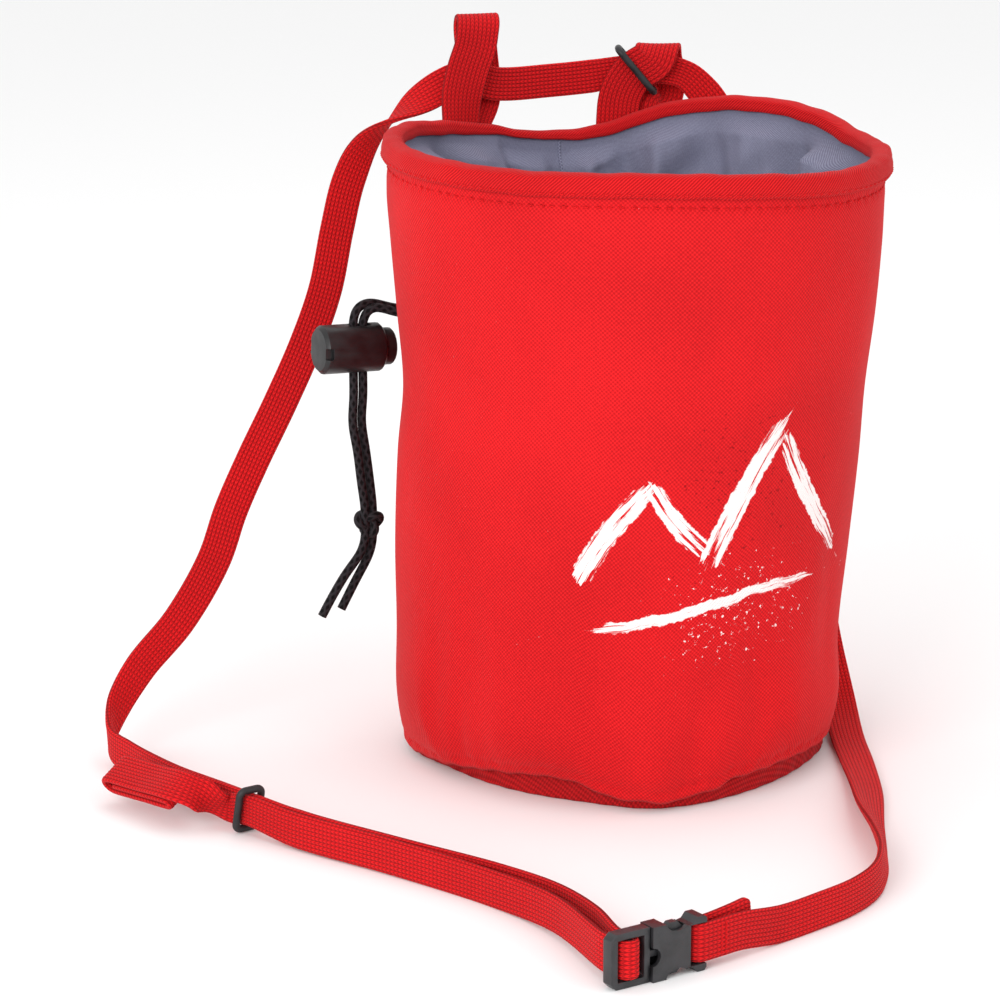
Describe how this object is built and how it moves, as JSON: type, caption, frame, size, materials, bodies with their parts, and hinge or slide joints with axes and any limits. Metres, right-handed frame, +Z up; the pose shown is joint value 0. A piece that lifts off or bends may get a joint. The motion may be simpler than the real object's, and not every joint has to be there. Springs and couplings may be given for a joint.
{
  "type": "climbing chalk bag with belt",
  "caption": "Standing cloth chalk bag, open at the top, with a gathered lining, a waist belt through two loops, a side-release buckle and a drawcord with a spring cord lock.",
  "frame": {"origin": "centre of the bag's flat base, on the surface that it stands on", "axes": "+Z up; +X to the right seen from the front; +Y away from the front, towards the side with the belt loops"},
  "size_m": [0.2147, 0.2657, 0.1984],
  "materials": {
    "wall_cloth": "matt woven polyester, bright red",
    "base_cloth": "matt coarse woven polyester, darker red",
    "lining_cloth": "smooth thin woven polyester, grey blue",
    "binding_tape": "matt twill tape, red",
    "webbing": "matt ribbed webbing, red",
    "ring_rubber": "smooth rubber, black",
    "plastic": "fine satin moulded plastic, dark grey",
    "cord": "matt braided cord, black"
  },
  "bodies": {
    "bag": {"bag_wall": "wall_cloth", "base_panel": "base_cloth", "lining": "lining_cloth", "rim_binding": "binding_tape", "belt_loop_left": "webbing", "belt_loop_right": "webbing", "belt_webbing": "webbing", "keeper_ring_front": "ring_rubber", "keeper_ring_top": "ring_rubber", "buckle_male": "plastic", "buckle_female": "plastic", "cord_lock_barrel": "plastic", "drawcord_a": "cord", "drawcord_b": "cord", "cord_knot": "cord"},
    "lock_plunger": {"cord_lock_plunger": "plastic"}
  },
  "joints": [
    {"name": "cord_lock_press", "type": "slide", "parent": "bag", "child": "lock_plunger", "axis": [-0.906, -0.4225, 0.0262], "range_m": [0, 0.0025], "stiffness_N_per_m": 300, "springref_m": -0.003}
  ]
}
